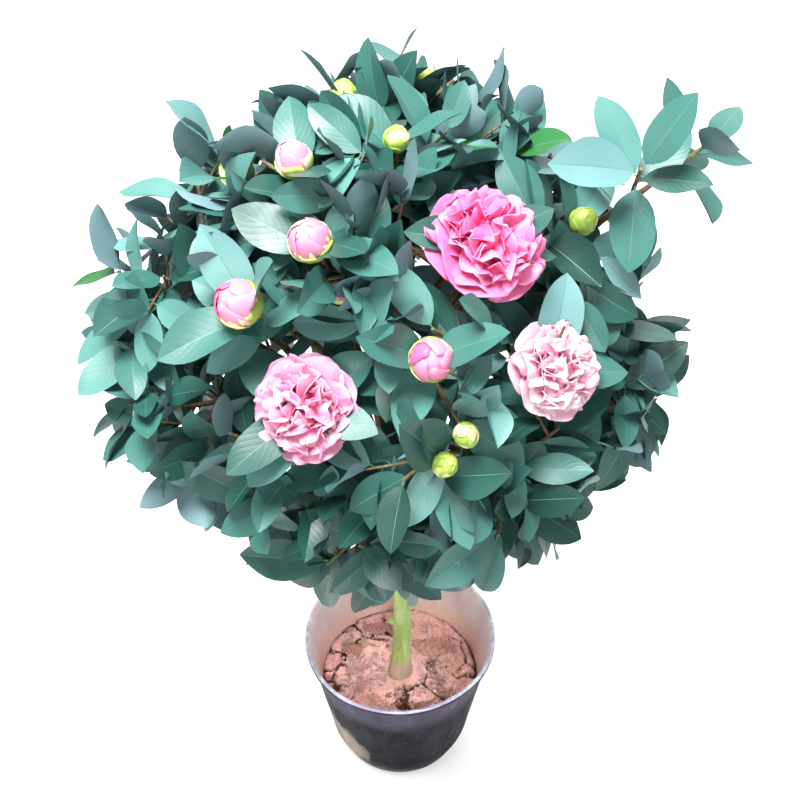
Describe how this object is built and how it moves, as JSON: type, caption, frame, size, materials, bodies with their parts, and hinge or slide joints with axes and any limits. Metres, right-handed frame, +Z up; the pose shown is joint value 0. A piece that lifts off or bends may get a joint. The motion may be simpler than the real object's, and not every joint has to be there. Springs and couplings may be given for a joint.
{
  "type": "potted camellia shrub",
  "caption": "Camellia shrub in a tapered plastic nursery pot of clay soil: one bare trunk under a round crown of leathery leaves, pink double blooms and buds.",
  "frame": {"origin": "centre of the pot's flat underside, on the surface that it stands on", "axes": "+Z up along the trunk, +X to the right of the plant's front, -Y towards its front"},
  "size_m": [0.6463, 0.5657, 0.999],
  "materials": {
    "pot": "smoky, slightly translucent moulded plastic, dusty",
    "soil": "dry, cracked and crumbly clay",
    "trunk": "smooth yellow-green bark, brown and earthy at the foot",
    "bough": "young brown and green bark",
    "foliage": "leathery leaves with a satin gloss",
    "bloom": "soft ruffled petals, deep pink to nearly white; in the solids the blooms are fused to their twigs in the foliage",
    "bud": "smooth green scales, some with pink petals showing; in the solids the buds are fused to their twigs in the foliage"
  },
  "bodies": {
    "root": {"pot": "pot", "soil": "soil", "trunk": "trunk", "bough_upper_right": "bough", "bough_front_left": "bough", "bough_right_front": "bough", "bough_upper_left": "bough", "bough_top": "bough", "bough_left": "bough", "bough_right": "bough", "bough_back": "bough", "bough_back_left_high": "bough", "bough_back_right_high": "bough", "bough_bottom_front": "bough", "bough_under_left": "bough", "bough_under_right": "bough", "bough_left_front": "bough", "bough_top_left": "bough", "bough_front": "bough", "bough_right_high": "bough", "bough_front_low": "bough", "bough_top_right": "bough", "bough_back_top": "bough", "bough_right_sprig": "bough", "bough_left_low": "bough", "bough_right_low": "bough", "bough_bottom_left": "bough", "bough_back_left": "bough", "bough_back_right": "bough", "bough_back_left_low": "bough", "bough_back_right_low": "bough", "foliage_upper_right": "foliage", "foliage_front_left": "foliage", "foliage_right_front": "foliage", "foliage_upper_left": "foliage", "foliage_top": "foliage", "foliage_left": "foliage", "foliage_right": "foliage", "foliage_back": "foliage", "foliage_back_left_high": "foliage", "foliage_back_right_high": "foliage", "foliage_bottom_front": "foliage", "foliage_under_left": "foliage", "foliage_under_right": "foliage", "foliage_left_front": "foliage", "foliage_top_left": "foliage", "foliage_front": "foliage", "foliage_right_high": "foliage", "foliage_front_low": "foliage", "foliage_top_right": "foliage", "foliage_back_top": "foliage", "foliage_right_sprig": "foliage", "foliage_left_low": "foliage", "foliage_right_low": "foliage", "foliage_bottom_left": "foliage", "foliage_back_left": "foliage", "foliage_back_right": "foliage", "foliage_back_left_low": "foliage", "foliage_back_right_low": "foliage"}
  },
  "joints": []
}
